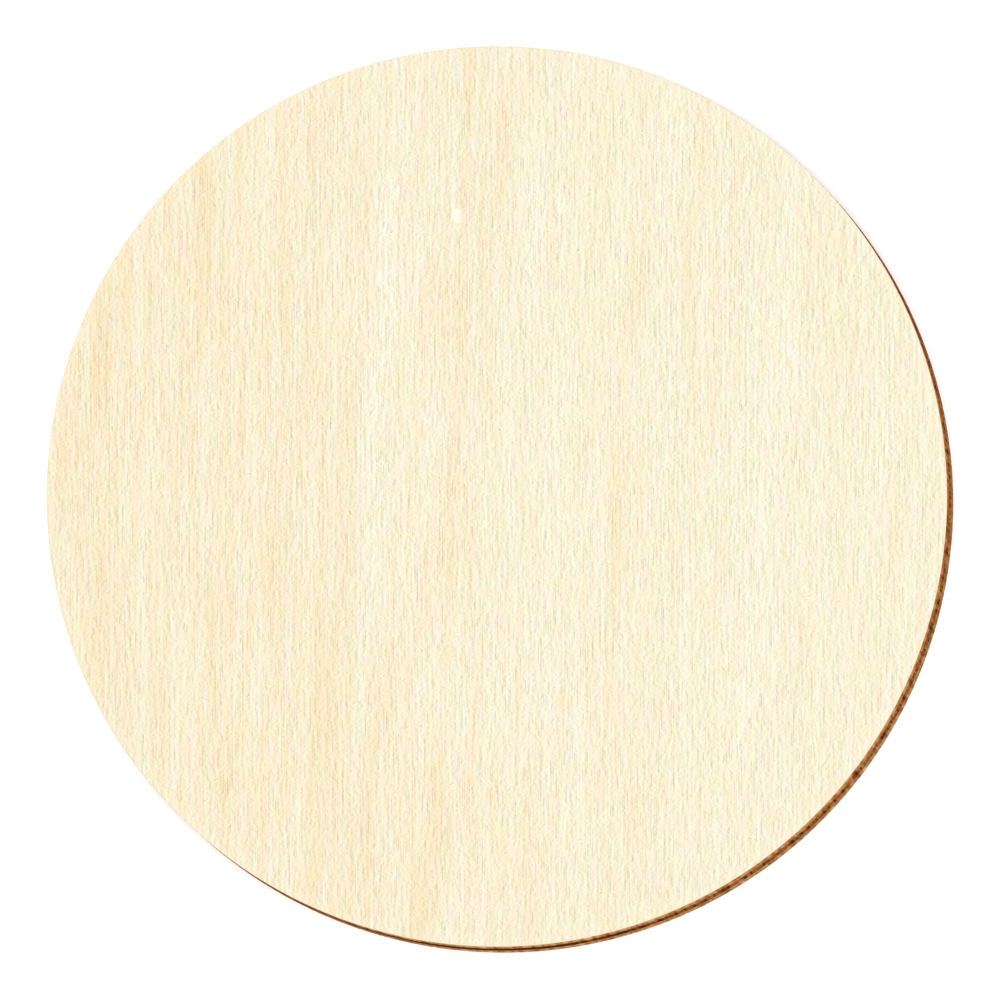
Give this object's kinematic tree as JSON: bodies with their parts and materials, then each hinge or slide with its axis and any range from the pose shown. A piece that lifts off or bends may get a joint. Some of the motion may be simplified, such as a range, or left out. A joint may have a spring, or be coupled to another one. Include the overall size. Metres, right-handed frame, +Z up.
{
  "type": "laser-cut birch plywood disc",
  "caption": "Thin round birch plywood disc with sanded faces and a laser-charred edge that shows its crossed veneers; a flat blank to paint, engrave, glue on or stand things on.",
  "frame": {"origin": "centre of the flat back face that the disc lies on", "axes": "+Z up through the thickness to the good face, +Y along the grain of the two outer veneers, +X along the grain of the core"},
  "size_m": [0.1, 0.1, 0.003],
  "materials": {
    "sanded_birch": "pale sanded birch, matt and unsealed, scorched brown on the cut edge",
    "core_birch": "birch core charred dark brown where the laser cut it",
    "glue_resin": "cured resin glue film, darkened at the cut"
  },
  "bodies": {
    "root": {"face_veneer": "sanded_birch", "upper_glue_film": "glue_resin", "core_veneer": "core_birch", "lower_glue_film": "glue_resin", "back_veneer": "sanded_birch"}
  },
  "joints": []
}
